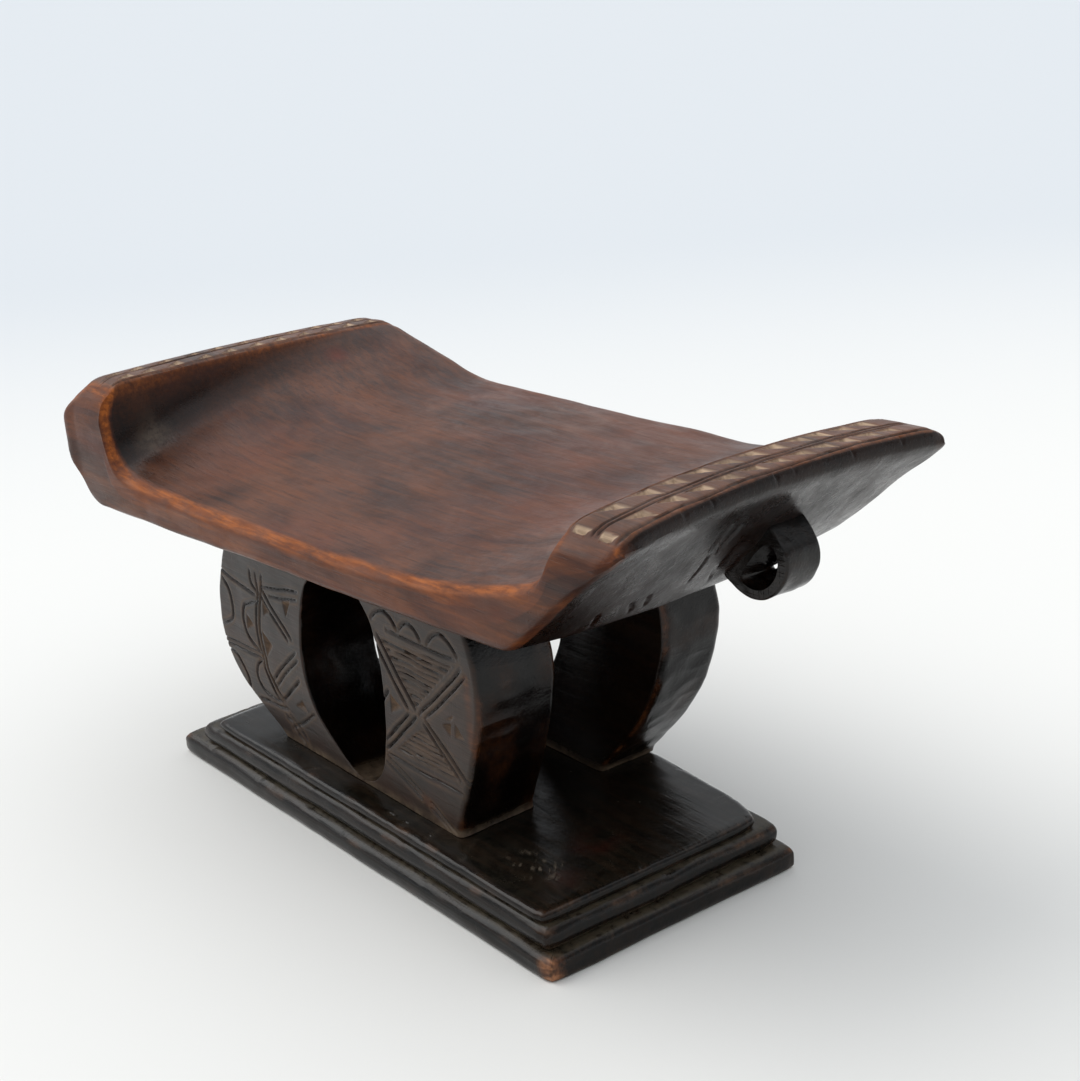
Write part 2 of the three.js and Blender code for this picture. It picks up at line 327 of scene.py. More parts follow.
def carved_wood(name, dark, light, worn, cut, dust, rough, shine, grain, polish, coat=0.0, pits=0.3,
                uneven=0.11,
                red=(0.13, 0.018, 0.008)):
    """Hand-carved old hardwood, grain along X, coloured by the meshes' marks.

    dark to cut are colours; dust and red are the colours of the marks dust and warm. rough is the
    roughness and uneven its range, shine the reflection, polish how much smoother shaded wood is.
    """
    n = Surface(name)
    fibres = n.noise((30, 420, 420), detail=5, rough=0.62, warp=0.25)
    pores = n.noise((90, 1500, 1500), detail=2, rough=0.5)
    clouds = n.noise((16, 34, 34), turn=(0.2, 0.1, 0.3), detail=4, rough=0.55, warp=0.6)
    mottle = n.noise((85, 120, 120), detail=3, rough=0.6, warp=0.3)
    marks = {key: n.mark(key) for key in MARKS}

    def dimmed(base, tint):
        return n.blend(1.0, base, tint, "MULTIPLY")

    colour = n.blend(n.band(clouds, 0.34, 0.66), dark, light)
    streaks = n.band(fibres, 0.40, 0.64)
    colour = n.blend(n.maths("MULTIPLY", streaks, grain), colour, n.blend(0.5, colour, worn))
    threads = n.noise((55, 950, 950), detail=3, rough=0.6)
    colour = n.blend(n.band(threads, 0.52, 0.70, 0.0, 0.6), colour, dimmed(colour, (0.42, 0.38, 0.36)))
    colour = n.blend(n.band(pores, 0.62, 0.74, 0.0, 0.55), colour, dimmed(colour, (0.28, 0.26, 0.25)))
    warm = n.maths("MULTIPLY", marks["warm"], n.band(mottle, 0.3, 0.7, 0.35, 1.0))
    colour = n.blend(warm, colour, red)
    colour = n.blend(marks["shade"], colour, dimmed(colour, (0.085, 0.085, 0.09)))
    rub_patches = n.noise((70, 210, 210), detail=4, rough=0.65)
    rubbed = n.maths("MULTIPLY", marks["worn"], n.band(rub_patches, 0.30, 0.58, 0.25, 1.0))
    bare = n.blend(n.band(fibres, 0.4, 0.62), dimmed(worn, (0.55, 0.5, 0.5)), worn)
    colour = n.blend(rubbed, colour, bare)
    fresh = n.blend(n.band(fibres, 0.36, 0.64), dimmed(cut, (0.5, 0.48, 0.46)), cut)
    colour = n.blend(marks["cut"], colour, fresh)
    dust_patches = n.noise((260, 260, 260), detail=4, rough=0.7)
    dusty = n.maths("MULTIPLY", marks["dust"], n.band(dust_patches, 0.34, 0.60, 0.25, 1.0))
    colour = n.blend(dusty, colour, dust)
    n.put(n.shader.inputs["Base Color"], colour)

    rub = n.noise((55, 90, 90), turn=(0.5, 0.3, 0.9), detail=5, rough=0.7, warp=0.4)
    roughness = n.band(rub, 0.3, 0.72, rough - uneven * 0.8, rough + uneven)
    matte = n.maths("ADD", n.maths("MULTIPLY", marks["cut"], 0.16), n.maths("MULTIPLY", dusty, 0.4))
    matte = n.maths("ADD", matte, n.maths("MULTIPLY", marks["worn"], 0.22))
    matte = n.maths("SUBTRACT", matte, n.maths("MULTIPLY", marks["shade"], polish))
    roughness = n.maths("MINIMUM", n.maths("ADD", roughness, matte), 0.95)
    n.put(n.shader.inputs["Roughness"], roughness)
    settings = {"IOR": 1.45, "Specular IOR Level": shine, "Coat Weight": coat, "Coat Roughness": 0.25,
                "Coat IOR": 1.45}
    for key, amount in settings.items():
        n.shader.inputs[key].default_value = amount

    tool = n.noise((40, 75, 75), turn=(0.1, 0.4, 0.2), detail=2, rough=0.4)
    scratches = n.noise((900, 45, 120), turn=(0.2, 0.1, 0.55), detail=3, rough=0.6)
    relief = n.bump(tool, 0.2, 0.0006)
    relief = n.bump(fibres, 0.6, 0.00025, relief)
    relief = n.bump(threads, 0.5, 0.00015, relief)
    relief = n.bump(n.band(pores, 0.58, 0.74, 1.0, 0.0), pits, 0.00018, relief)
    relief = n.bump(n.band(scratches, 0.60, 0.72, 1.0, 0.0), 0.25, 0.00012, relief)
    n.put(n.shader.inputs["Normal"], relief)
    return n.material


seat_wood = carved_wood(
    "seat_patina", dark=(0.038, 0.0130, 0.0075), light=(0.105, 0.036, 0.017), worn=(0.360, 0.098, 0.014),
    cut=(0.520, 0.370, 0.250), dust=(0.24, 0.18, 0.13), rough=0.40, shine=0.28, grain=0.24, polish=0.10,
    coat=0.03,
)
support_wood = carved_wood(
    "support_patina", dark=(0.0095, 0.0062, 0.0042), light=(0.0235, 0.0150, 0.0095),
    worn=(0.15, 0.052, 0.018),
    cut=(0.125, 0.072, 0.038), dust=(0.120, 0.084, 0.054), rough=0.32, shine=0.32, grain=0.16, polish=0.13,
    uneven=0.05, red=(0.07, 0.018, 0.009),
)
base_wood = carved_wood(
    "base_patina", dark=(0.0014, 0.0014, 0.0012), light=(0.0034, 0.0031, 0.0026), worn=(0.40, 0.175, 0.080),
    cut=(0.20, 0.165, 0.125), dust=(0.088, 0.070, 0.045), rough=0.20, shine=0.30, grain=0.05, polish=0.0,
    pits=0.08, uneven=0.04, red=(0.060, 0.008, 0.005),
)
lug_wood = carved_wood(
    "lug_patina", dark=(0.0025, 0.0022, 0.0020), light=(0.0048, 0.0040, 0.0036), worn=(0.20, 0.080, 0.030),
    cut=(0.03, 0.02, 0.015), dust=(0.06, 0.045, 0.035), rough=0.20, shine=0.34, grain=0.05, polish=0.0,
    uneven=0.03,
)

# ---------------------------------------------------------------- seat

SEAT_TURN = 0.034  # radians about Z, against the base
SEAT_AT = (6.3, 10.3)
RIM_Z = 162.3
RIM_HALF = 70.6  # half the width at the rims
SIDE_BULGE = 4.6  # how much wider each side is below the rims
RIM_DROP = 2.6  # how much lower the rims are at their corners
RIM_BOW = 4.2  # how far the ends draw in at mid width
BELLY = 4.2  # how much deeper the underside is at mid width
NOSE_DROP = 4.2  # how far the rims' corners are rounded down
CORNER, SMALL_CORNER = 7.2, 3.6  # rounding of the corners in plan, and of the one at the back of +X
END_RIGHT, END_LEFT = 162.0, 172.2  # how far the seat runs each way
SIDE_HALF = RIM_HALF + SIDE_BULGE
INWARD = 0.35  # how far a surface is set in, so that its lumps stay near the CAD's
# Profiles along the seat, (u, w): the top near the front side, near the back side, and the underside
FRONT_TOP = [
    (-172, -20), (-170, -13), (-164.5, -6.5), (-158, -1.2), (-150, -0.2), (-141, 0), (-137.6, -2),
    (-136.6, -12), (-134, -25), (-127, -33), (-110, -36), (-75, -36.6), (0, -35.6), (40, -34), (72, -31.4),
    (96, -28), (116, -23.4), (129, -18.6), (134.8, -12), (137, -3), (139.4, -0.3), (143, 0), (157, 0),
    (160.2, -0.8), (161.4, -2.6), (161.8, -4.8),
]
BACK_TOP = [
    (-172, -20), (-170, -13), (-164.5, -6.5), (-158, -1.2), (-150, -0.2), (-141, 0), (-136, -1.6),
    (-126, -5.6), (-113, -10), (-101, -13.6), (-90, -16.8), (-75, -19), (0, -19.8), (45, -20.4),
    (72, -20.6), (90, -18.6), (106, -13.8), (119, -8.6), (130, -4), (136, -1.2), (139.4, -0.2), (143, 0),
    (157, 0), (160.2, -0.8), (161.4, -2.6), (161.8, -4.8),
]
UNDER = [
    (-172, -22.4), (-171, -27), (-167, -34.6), (-161, -42.4), (-154.6, -49.6), (-147, -53.8), (-136, -54.2),
    (0, -50.4), (106, -47.6), (114, -46.6), (121, -41.8), (130, -34.6), (139, -27.0), (147, -20.2),
    (154, -14.2), (159, -9.6), (161, -7.2), (161.8, -5.8),
]


def seat_top(u, t):
    to_back = 1 - ((1 - t) / 2) ** 2
    return mix(curve_at(FRONT_TOP, u), curve_at(BACK_TOP, u), to_back) - RIM_DROP * t * t


def seat_under(u, t):
    body = smooth((156 - abs(u)) / 42)
    rim = smooth((abs(u) - 140) / 22)
    return curve_at(UNDER, u) - BELLY * (1 - t * t) * body - RIM_DROP * t * t * rim


def bowed(u, t, start, length):
    return u - np.sign(u) * RIM_BOW * (1 - t * t) * smooth((abs(u) - start) / length)


def place_seat(u, v, w):
    c, s = math.cos(SEAT_TURN), math.sin(SEAT_TURN)
    return np.stack([c * u - s * v + SEAT_AT[0], s * u + c * v + SEAT_AT[1], RIM_Z + w], -1)


def under_height(x, y):
    """Height of the seat's underside over a point of the base frame."""
    c, s = math.cos(SEAT_TURN), math.sin(SEAT_TURN)
    dx, dy = x - SEAT_AT[0], y - SEAT_AT[1]
    return RIM_Z + seat_under(c * dx + s * dy, clamp01(abs(c * dy - s * dx) / SIDE_HALF))


# Chip rows along each rim: where each chip's upright side is, from the front corner to the back
RIGHT_CHIPS = [-65, -49, -35, -24, -12.5, -1.5, 9, 19, 28.5, 37.5, 48, 57]
LEFT_CHIPS = [-58, -48, -36, -23, -12, 1, 13, 25, 37, 48, 60]
# Across each rim: the lines (place, half width, depth), and the base and tip of each chip row
RIM_CHIP_DEPTH = 2.6
RIGHT_LINES = [(138.0, 0.8, 0.8), (139.8, 0.7, 0.7), (148.8, 0.8, 0.9), (150.9, 0.8, 0.9), (159.0, 0.75, 0.8)]
RIGHT_ROWS = [(152.0, 158.2), (140.8, 147.9)]
LEFT_LINES = [(139.2, 0.8, 0.8), (147.7, 0.75, 0.8), (149.5, 0.75, 0.8), (157.4, 0.75, 0.8)]
LEFT_ROWS = [(150.3, 156.4), (140.6, 146.6)]
# Knocks along the rims' outer edges: v, u, size
RIM_NICKS = [
    (-41, 160.5, 2.2), (-29, 160.8, 1.6), (-2, 160.8, 2.0), (6, 160.5, 1.8), (31, 160.9, 1.5),
    (52, 160.7, 1.8), (-52, -158.5, 1.8), (-20, -159, 2.2), (18, -159, 1.7), (44, -158.6, 2.0),
]
# Short tool cuts under the ends, u and v
END_CUTS = [
    [(121, -30), (126, -34)], [(122.5, -25), (127.5, -28)], [(119, -44), (125, -47)], [(124, 2), (131, -3)],
    [(129, -12), (139, -13)], [(141, -9), (149, -6)], [(143, -14), (151, -12)], [(120, 34), (127, 30)],
    [(-122, 20), (-129, 25)], [(-124, -20), (-131, -24)], [(-141, 4), (-148, 8)],
]


def rim_carving(u, v):
    """Depth of the rims' carving, and how much of it is paler bare cut wood, with a painted highlight
    strongest at each chip's upright end.
    """
    depth, bare = np.zeros(np.shape(u)), np.zeros(np.shape(u))
    wander = 0.35 * noise(v / 14, np.sign(u) * 3, seed=3) + 0.12 * noise(v / 3.5, 0.5, seed=4)
    # Each rim: side, lines, rows, chips, the chips' length and how far their upright side is moved on
    rims = ((1, RIGHT_LINES, RIGHT_ROWS, RIGHT_CHIPS, 8.8, 0.0),
            (-1, LEFT_LINES, LEFT_ROWS, LEFT_CHIPS, 7.6, 2.0))
    for side, lines, rows, chips, length, moved_on in rims:
        here = (side * u > 130).astype(float)
        across = side * u + wander
        fade = ramp(v, -69.5, -65) * ramp(v, 70.5, 67)
        for k, (at, half, deep) in enumerate(lines):
            line = groove(abs(across - at - 0.15 * noise(v / 9, k, seed=6)), half, deep)
            depth = np.maximum(depth, line * here * fade * (0.8 + 0.2 * noise(v / 6, k, seed=7)))
        for row, (low, high) in enumerate(rows):
            for k, at in enumerate(chips):
                jitter = 0.5 * noise(k * 1.7 + 0.3, row * 2.3 + side, seed=9)
                start = at + jitter + moved_on
                top = high + 0.4 * noise(k * 0.9, row + 5.1, seed=10)
                triangle = [(low, start), (top, start), (low, start - length)]
                peak = (mix(low, top, 0.36), start - length * 0.26)
                cut = chip(triangle, peak, RIM_CHIP_DEPTH, across, v) * here
                depth = np.maximum(depth, cut)
                # paler cut wood in each chip, plus a painted highlight fading from its upright end to its tip
                bare = np.maximum(bare, smooth(cut / 0.3) * mix(1.1, 0.25, clamp01((start - v) / length)))
    return depth, bare


def seat_rows():
    """Rows across the seat from front to back, and the rounded edge's height.

    Each row: side (-1, 1, or 0 between), inset from the side (or v between the sides), fall, share
    of the way down the side.
    """
    edge, bevel, rows = 2.8, 5.6, []
    for k in range(11):
        rows.append((0.0, 0.0, 0.92 * (1 - k / 11)))
    for k in range(1, 8):
        angle = math.radians(90 - 90 * k / 8)
        rows.append((bevel * (1 - math.sin(angle)), edge * (1 - math.cos(angle)), 0.0))
    middle = np.linspace(-(SIDE_HALF - bevel), SIDE_HALF - bevel, 254)
    front = [(-1, *row) for row in rows]
    back = [(1, *row) for row in reversed(rows)]
    return front + [(0, v, 0.0, 0.0) for v in middle] + back, edge


def make_seat():
    top_u = np.concatenate([
        [-172, -171.7, -171.2, -170.4, -169.2, -167.8, -166.2, -164.6, -163.0, -161.6],
        np.arange(-160.5, -139.2, 0.55),
        [-138.8, -138.2, -137.7, -137.3, -136.9, -136.4, -135.8, -135.0, -134.0, -132.8],
        np.linspace(-131, 131, 87),
        [132.4, 133.4, 134.2, 134.9, 135.5, 136.1, 136.7, 137.3, 137.8, 138.3], np.arange(138.8, 161.2, 0.5),
        [161.4, 161.65, 161.8],
    ])
    under_u = np.concatenate([
        [161.8, 161.4, 160.8, 160.0, 159.0], np.linspace(158, 112, 36), np.linspace(107, -134, 48),
        np.linspace(-136, -169, 26), [-170.4, -171.3, -172],
    ])
    rows, edge = seat_rows()
    flat_side, inset_or_v, fall, down = (q[:, None] for q in np.array(rows, float).T)
    side = np.where(flat_side == 0, np.sign(inset_or_v), flat_side)
    inner = flat_side == 0
    t = np.where(inner, inset_or_v / SIDE_HALF, side * (1 - inset_or_v / SIDE_HALF))

    def chain(u, is_top):
        u = np.broadcast_to(u, (len(rows), len(u)))
        tt = np.broadcast_to(t, u.shape)
        top, under = seat_top(u, tt), seat_under(u, tt)
        nose = NOSE_DROP * clamp01((abs(tt) * SIDE_HALF - 64.5) / 10.7) ** 2 * ramp(abs(u), 134, 139)
        nose = nose * np.where(tt < 0, 1.0, 0.3)
        top = top - np.minimum(nose, 0.55 * np.maximum(top - under - 1, 0))
        thick = top - under
        room = np.minimum(edge, thick * 0.3)
        k = room / edge
        own = top - fall * k if is_top else under + fall * k
        side_start = np.where(inner, 0, room)
        reach = np.where(inner, 0, down * (thick / 2 - side_start))
        sink = np.where(down > 0, side_start + reach, 0)
        level = own - sink if is_top else own + sink
        half = RIM_HALF + SIDE_BULGE * smooth((-level - 2) / 16)
        turn = np.where((u > 0) & (tt > 0), SMALL_CORNER, CORNER)
        past = clamp01((np.where(u > 0, u - END_RIGHT, -u - END_LEFT) + turn) / turn)
        half = half - turn * (1 - np.sqrt(np.maximum(1 - past**2, 0)))
        v = np.where(inner, inset_or_v * half / SIDE_HALF, side * (half - inset_or_v * k))
        moved = bowed(u, tt, 118, 18) if is_top else bowed(u, tt, 132, 26)
        return moved, v, level, u

    parts = [chain(top_u, True), chain(under_u, False)]
    u, v, w, plain_u = (np.concatenate([p[k] for p in parts], 1) for k in range(4))
    is_top = np.concatenate([np.ones(len(top_u)), np.zeros(len(under_u))])[None, :] * np.ones((len(rows), 1))
    on_top = is_top * (down <= 0) * smooth((0.94 - abs(t)) / 0.01 + 1)
    grid = place_seat(u, v, w)

    # Normals of the plain shape
    along_rows, along_loop = np.gradient(grid, axis=0), np.roll(grid, -1, 1) - np.roll(grid, 1, 1)
    normal = np.cross(along_loop, along_rows)
    normal /= np.maximum(np.linalg.norm(normal, axis=-1, keepdims=True), 1e-9)
    if normal[len(rows) // 2, 100, 2] < 0:
        normal = -normal

    depth, bare = rim_carving(plain_u, v)
    depth, bare = depth * on_top, bare * on_top
    x, y, z = grid[..., 0], grid[..., 1], grid[..., 2]
    rough_end = ramp(abs(plain_u), 112, 124) * (1 - is_top)
    hand = (1 - 0.8 * rough_end) * 0.42 * noise(x / 26, y / 17, z / 17, seed=1) + 0.16 * noise(x / 9, y / 7,
        z / 7, seed=2)
    scoops = 0.12 * abs(noise(x / 16, y / 9, z / 30, seed=12)) * rough_end
    hand = hand * (1 - 0.6 * ramp(down, 0.0, 0.3))
    swell = hand * 0.85 - scoops - INWARD
    rim_flat = on_top * ramp(abs(plain_u), 137.5, 139)
    swell = mix(swell, 0.12 * noise(x / 6, y / 9, seed=13) - 0.12, rim_flat)
    swell = swell + 1.3 * smooth(1 - abs(plain_u + 168) / 9)

    nick = np.zeros_like(u)
    for at_v, at_u, size in RIM_NICKS:
        far = np.hypot((plain_u - at_u) * 0.9, v - at_v)
        nick = np.maximum(nick, 0.6 * smooth(1 - far / (size * 0.6)) * is_top)

    # A scooped hollow in the +X end's slope
    slope = (1 - is_top) * (plain_u > 108)
    hollow = 2.6 * smooth(1 - np.hypot((plain_u - 134) / 13, (v - 4) / 7.5)) * slope
    cuts = np.zeros_like(u)
    for line in END_CUTS:
        cuts = np.maximum(cuts, groove(distance_to(line, plain_u, v)[0], 1.1, 0.7) * (1 - is_top))
    grid = grid + normal * (swell - hollow - cuts - nick)[..., None]
    grid[..., 2] -= depth

    # Marks for the material: rubbed edges first, then bare cuts, then what is darker, redder or dusty
    from_side = SIDE_HALF - abs(t) * SIDE_HALF
    edge_near = 1 - smooth((abs(from_side) - 0.6) / 3.2)
    side_edge = edge_near * is_top * (down < 0.45) * (1 - ramp(abs(plain_u), 150, 158) * 0.4)
    ridge = smooth(1 - abs(from_side - 2.6) / 3.0) * is_top * (down <= 0) * np.ones_like(u)
    front_edge = ridge * (side < 0) * (1 - 0.8 * ramp(plain_u, 122, 140))
    ends = (is_top * smooth(1 - abs(abs(plain_u) - 159.9) / 1.0) * 0.45 * (plain_u > 0)
            + is_top * (1 - ramp(abs(abs(plain_u) - 138.2), 0.6, 2.4)) * 0.5)
    ends = ends * (1 - ramp(down, 0.0, 0.06))
    patch = 0.5 + 0.5 * noise(x / 16, y / 12, z / 9, seed=21)
    worn = clamp01(front_edge * (0.75 + 0.5 * patch) + side_edge * 0.22 * patch + ends * (0.35 + 0.6 * patch))
    corner = is_top * smooth(1 - np.hypot(plain_u - 150, (v + 74)) / 17)
    worn = clamp01(worn + corner * 0.22 * patch)
    front_face = (side < 0) * (~inner) * np.ones_like(u)
    back_face = (side > 0) * (~inner) * np.ones_like(u)
    worn = clamp01(worn + (front_face + 0.6 * back_face) * (0.10 + 0.22 * noise(x / 30, z / 4, seed=22)))
    worn = clamp01(worn - 0.5 * on_top * (1 - ridge) * ramp(-plain_u, 100, 140) * (abs(plain_u) < 137))
    rim = ramp(abs(plain_u), 137.5, 139.5) * on_top
    corner_dark = is_top * smooth(1.2 - np.hypot((plain_u - 147) / 13, (v + 71) / 8)) * (0.5 + 0.6 * patch)
    worn = worn * (1 - 0.75 * clamp01(corner_dark))
    end_band = is_top * ramp(plain_u, 159.9, 160.7) * ramp(v, -73.5, -69)
    cut = clamp01(bare + rim * 0.07 * (0.4 + 0.6 * patch) * (1 - clamp01(corner * 1.5)) * (1 - end_band))
    # painted shade in the carved lines and in each chip, darkest in its depth towards the tip
    carving_shade = smooth(depth / 0.6) * (1 - smooth((bare - 0.2) / 0.35))
    slope_dark = (1 - is_top) * ramp(abs(plain_u), 96, 112)
    left_nose = is_top * ramp(-plain_u, 160.6, 162.2) * 0.95 * ramp(v, -71, -60)
    wall = on_top * ramp(-plain_u, 118, 132) * (1 - rim) * ramp(-plain_u, 137.6, 135)
    shade = clamp01(carving_shade * 0.95 + 0.8 * corner_dark + slope_dark + end_band + left_nose
                    + 0.93 * (1 - is_top) * (down <= 0) + wall * 0.45
                    + on_top * 0.5 * ramp(-plain_u, 70, 125) * ramp(v, 30, -50) * (1 - rim)
                    + on_top * 0.35 * smooth(1 - np.hypot((plain_u + 40) / 60, (v + 20) / 30)) * patch)
    far_edge = front_face * ramp(plain_u, 90, 150)
    shade = clamp01(shade * (1 - 0.5 * front_face) + far_edge * 0.15)
    warm = clamp01(0.9 * smooth(1 - np.hypot((plain_u + 126) / 9, (v - 30) / 8)) * on_top
                   + 0.25 * front_face * patch + 0.2 * on_top * (1 - rim)
                   * smooth(noise(x / 40, y / 30, seed=23) + 0.3))
    dust = on_top * 0.30 * smooth(1 - np.hypot((plain_u + 130) / 7, (v + 56) / 11)) * (0.4 + 0.8 * patch)
    marks = {"worn": worn, "cut": cut, "dust": dust, "warm": warm, "shade": shade}
    # The middle of each long side closes with a strip between the top chain and the underside's
    count, tops = grid.shape[1], len(top_u)
    strips = []
    for row in (0, len(rows) - 1):
        upper = [row * count + i for i in range(tops)]
        lower = [row * count + i for i in range(count - 1, tops - 1, -1)]
        strips += zip_between(upper, lower, np.ravel(u))
    return make_piece("seat_carved", "seat", [(grid, None)], {k: [a] for k, a in marks.items()},
                      seat_wood,
                      extra=strips)


# ---------------------------------------------------------------- supports

SLAB_TOP = 21.0
FOOT_FLARE, FOOT_RISE = 2.0, 3.6  # how far the arms widen at the slab, and over what height
JOIN_RISE = 92.0  # from here up the rows stretch to meet the seat's sloping underside
FRONT_Y = (-39.0, -5.5)
BACK_Y = (27.5, 54.5)
FRONT_OUTER = [
    (-40, 10), (-61.5, 20.4), (-82.5, 29.6), (-99, 39.5), (-107, 52), (-108.6, 67), (-103.4, 84),
    (-92, 102), (-70, 122), (-16, 136), (44, 124), (66, 106), (74, 92), (75.6, 77), (70.4, 56), (62, 35.5),
    (53.6, 19), (20, 8),
]
FRONT_OPEN = [
    (-8, 22.6), (-23, 30.4), (-36.6, 42), (-41.8, 57), (-39.6, 75), (-34, 90), (-25, 100), (-13, 104.4),
    (0, 100.4), (9.4, 90.4), (13.8, 76), (14.4, 61), (12.8, 45), (8.6, 31.4), (1, 23.8),
]
BACK_MIDDLE = 4
BACK_HALF = [
    (0, 8), (30, 11), (47, 20.4), (58, 31), (69.8, 43.5), (81.2, 60), (87, 73), (89.8, 84), (89, 95),
    (83, 109), (66, 124), (34, 134), (0, 138),
]
BACK_HALF_OPEN = [
    (0, 26), (8, 31.4), (15, 42.5), (22.6, 56.5), (28.6, 68), (30, 79), (26.6, 91), (16, 101), (0, 104),
]


def mirrored(half, middle):
    left = [(middle - x, z) for x, z in half[-2:0:-1]]
    return [(middle + x, z) for x, z in half] + left


def two_sides(points):
    """The left and right branches of a closed outline, each as x(z), and its lowest and highest points."""
    line = through(points, 24, closed=True)
    line = np.roll(line, -int(np.argmin(line[:, 1])), 0)
    top = int(np.argmax(line[:, 1]))
    one, two = line[: top + 1], np.vstack([line[top:], line[:1]])[::-1]
    if one[:, 0].mean() > two[:, 0].mean():
        one, two = two, one

    def side(branch):
        order = np.maximum.accumulate(branch[:, 1] + np.arange(len(branch)) * 1e-7)
        return lambda z: np.interp(z, order, branch[:, 0])

    return side(one), side(two), line[0], line[top]


# Carving on the arms, X and Z on the face. Lines: points, half width, depth. Hatch: triangle, pitch,
# depth. Chips: triangle, deepest point, depth.
RIGHT_ARM_LINES = [
    ([(22, 89.6), (44, 89.4), (63, 89.8)], 0.9, 0.7),
    ([(12, 91.5), (15.5, 95), (20.5, 96.8), (25.5, 95), (29, 91.4)], 1.0, 0.9),
    ([(30, 91.4), (33, 94.8), (36.6, 96.4), (40.5, 94.8), (43.4, 91.4)], 1.0, 0.9),
    ([(47.4, 91.2), (51, 95.4), (56, 97.2), (61, 95.2), (64.6, 91.2)], 1.0, 0.9),
    ([(15.4, 86.2), (25.5, 74.6), (36, 63.2)], 0.85, 1.0),
    ([(11.8, 84.4), (21, 73.6), (31.4, 62)], 0.85, 1.0),
    ([(38.2, 62.2), (51, 73.4), (66, 86.8)], 0.85, 1.0),
    ([(42, 62), (55, 73.2), (68.4, 85)], 0.85, 1.0),
    ([(36, 60.6), (25.6, 51.4), (14, 41.2)], 0.85, 1.0),
    ([(31, 60), (23, 53), (14.8, 45.6)], 0.85, 1.0),
    ([(42.2, 60.8), (50, 55), (65.2, 44.4)], 0.85, 1.0),
    ([(40.6, 59), (48, 52.8), (60.2, 44.2)], 0.85, 1.0),
    ([(14, 39.4), (36, 39), (60.4, 39.4)], 0.8, 0.8),
    ([(14, 38), (24, 34.2), (35, 30)], 0.8, 0.9),
    ([(13, 35.6), (23, 32.2), (34, 28.2)], 0.7, 0.8),
    ([(40, 29), (47, 25.4), (55, 21.4)], 0.8, 0.9),
    ([(40, 26.6), (46, 23.6), (52, 20.6)], 0.8, 0.8),
    ([(14.4, 60), (19, 65.4)], 0.9, 1.0),
]
RIGHT_ARM_HATCH = [
    ([(13.6, 87.6), (64.4, 88.2), (36.6, 62)], 2.35, 1.0),
    ([(15.4, 41), (64.6, 41.6), (39.4, 59.4)], 1.95, 0.9),
]
RIGHT_ARM_CHIPS = [
    ([(20, 65), (19.4, 57), (28.2, 61)], (21.6, 61), 1.6),
    ([(52.4, 63.4), (58, 65.2), (57, 59.4)], (56.2, 62.8), 1.5),
    ([(60.2, 66.4), (65.4, 61.2), (59.6, 60.2)], (61.4, 62.4), 1.4),
    ([(53, 65), (60, 69), (58.6, 66.4)], (57.6, 67), 0.8),
]
LEFT_ARM_LINES = [
    ([(-72, 88), (-71.6, 80), (-75, 72), (-76.4, 65), (-75.8, 57), (-74.2, 52), (-73.8, 47), (-71, 42.6),
      (-67, 37.8), (-62, 35)], 0.8, 1.0),
    ([(-67, 88), (-69, 80.4), (-72.4, 72), (-73.8, 65), (-73.2, 57), (-71.8, 52), (-71.2, 47), (-68.4, 43.4),
      (-64.6, 39.4), (-60, 37)], 0.8, 1.0),
    ([(-76.5, 88), (-76, 83), (-72.4, 80)], 0.7, 0.8),
    ([(-104, 83), (-94, 80.6), (-84, 79.2), (-74, 78)], 0.8, 0.9),
    ([(-72.6, 76), (-80, 73.2), (-85, 71), (-87, 65), (-85.2, 59), (-82, 56.4), (-75.4, 53.4)], 0.9, 1.0),
    ([(-101, 79), (-97, 75), (-95.4, 70), (-96, 64), (-99, 61), (-106, 58)], 0.9, 1.0),
    ([(-107.4, 52.2), (-90, 52.4), (-74, 53)], 0.7, 0.8),
    ([(-107.2, 50.2), (-90, 50.4), (-75, 51)], 0.7, 0.8),
    ([(-105.6, 47.5), (-97, 47), (-93, 43.5), (-89, 38), (-88.6, 34)], 0.9, 1.0),
    ([(-75, 50), (-79, 47.5), (-81, 43), (-80, 39.4), (-76, 36.2), (-68, 34.8), (-62, 35.6)], 0.8, 0.9),
    ([(-81, 32), (-65, 32.8), (-59, 34)], 0.7, 0.8),
    ([(-68, 83.4), (-55, 85.4), (-40, 88)], 0.75, 0.9),
    ([(-62, 81), (-50, 82.4), (-41, 84.4)], 0.75, 0.8),
    ([(-68, 82.5), (-60, 75), (-49, 66)], 0.8, 0.9),
    ([(-70.4, 80.2), (-62.4, 72.6), (-52, 64.4)], 0.7, 0.8),
    ([(-67.4, 44), (-59, 51.5), (-47, 61)], 0.8, 0.9),
    ([(-65.4, 42), (-57, 49.4), (-46, 58)], 0.7, 0.8),
    ([(-62, 36.6), (-56, 41), (-47, 49.4)], 0.8, 0.9),
    ([(-56, 26.6), (-45, 33), (-38, 37.6)], 0.7, 0.8),
    ([(-60.4, 30.4), (-56, 29), (-52.6, 25.6), (-48, 22)], 0.8, 0.9),
    ([(-57, 31.6), (-51, 28.6), (-46, 24.4)], 0.7, 0.7),
]
LEFT_ARM_CHIPS = [
    ([(-52.4, 81.4), (-46, 82.6), (-51, 74.6)], (-50, 79.6), 1.6),
    ([(-72.2, 64), (-64.6, 58.8), (-70.4, 53)], (-69.4, 58.8), 1.6),
    ([(-52.4, 37.4), (-46, 41.6), (-43, 37)], (-46.8, 38.6), 1.5),
    ([(-84, 68), (-84.6, 61), (-78, 64)], (-82.4, 64.4), 1.4),
    ([(-68.6, 77), (-63.6, 73.4), (-69.6, 70.6)], (-67.4, 73.8), 1.2),
]

# Rubbed places on the right arm's face
ARM_STREAK = [(69, 60), (69.4, 72), (68.6, 85)]
ARM_TAIL = [(36, 30), (40, 28)]


